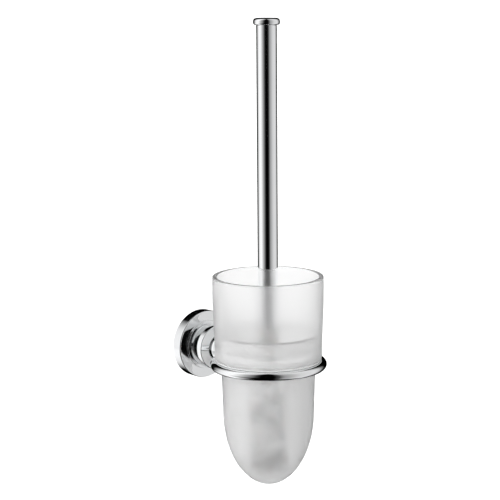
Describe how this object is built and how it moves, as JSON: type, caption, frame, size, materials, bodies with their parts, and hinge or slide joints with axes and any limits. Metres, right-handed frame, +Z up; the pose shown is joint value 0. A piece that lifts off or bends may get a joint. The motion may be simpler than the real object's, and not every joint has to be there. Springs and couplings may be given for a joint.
{
  "type": "toilet brush holder",
  "caption": "Wall-mounted toilet brush holder: a chromed rosette and post carry a ring that holds a frosted glass cup with a plastic liner and a long chromed brush.",
  "frame": {"origin": "centre of the wall bracket's back face, on the wall plane behind the middle of the rosette", "axes": "+Z up along the brush handle, +Y into the wall, +X to the right of someone who faces the wall"},
  "size_m": [0.0996, 0.1607, 0.3972],
  "materials": {
    "chrome_plate": "polished",
    "bracket_steel": "zinc plated",
    "fastener_steel": "satin",
    "plug_nylon": "matte",
    "seat_plastic": "satin translucent",
    "frosted_glass": "satin etched",
    "liner_plastic": "matte translucent",
    "brass": "machined",
    "head_plastic": "satin",
    "bristles": "matte"
  },
  "bodies": {
    "wall_mount": {"wall_bracket": "bracket_steel", "wall_screw_upper": "fastener_steel", "wall_screw_lower": "fastener_steel", "wall_plug_upper": "plug_nylon", "wall_plug_lower": "plug_nylon", "rosette": "chrome_plate", "post": "chrome_plate", "post_grub_screw": "fastener_steel", "arm_bolt": "fastener_steel", "ring_arm": "chrome_plate", "holder_ring": "chrome_plate", "seat_ring": "seat_plastic"},
    "cup": {"glass_cup": "frosted_glass"},
    "liner": {"cup_liner": "liner_plastic"},
    "brush": {"handle_tube": "chrome_plate", "handle_knob": "chrome_plate", "tube_bush": "brass", "brush_stud": "fastener_steel", "brush_core": "head_plastic", "bristle_row_1": "bristles", "bristle_row_2": "bristles", "bristle_row_3": "bristles", "bristle_row_4": "bristles", "bristle_row_5": "bristles", "bristle_tip": "bristles"}
  },
  "joints": [
    {"name": "cup_lift", "type": "slide", "parent": "wall_mount", "child": "cup", "axis": [0, 0, 1], "range_m": [0, 0.12]},
    {"name": "liner_lift", "type": "slide", "parent": "cup", "child": "liner", "axis": [0, 0, 1], "range_m": [0, 0.19]},
    {"name": "brush_lift", "type": "slide", "parent": "liner", "child": "brush", "axis": [0, 0, 1], "range_m": [0, 0.21]}
  ]
}
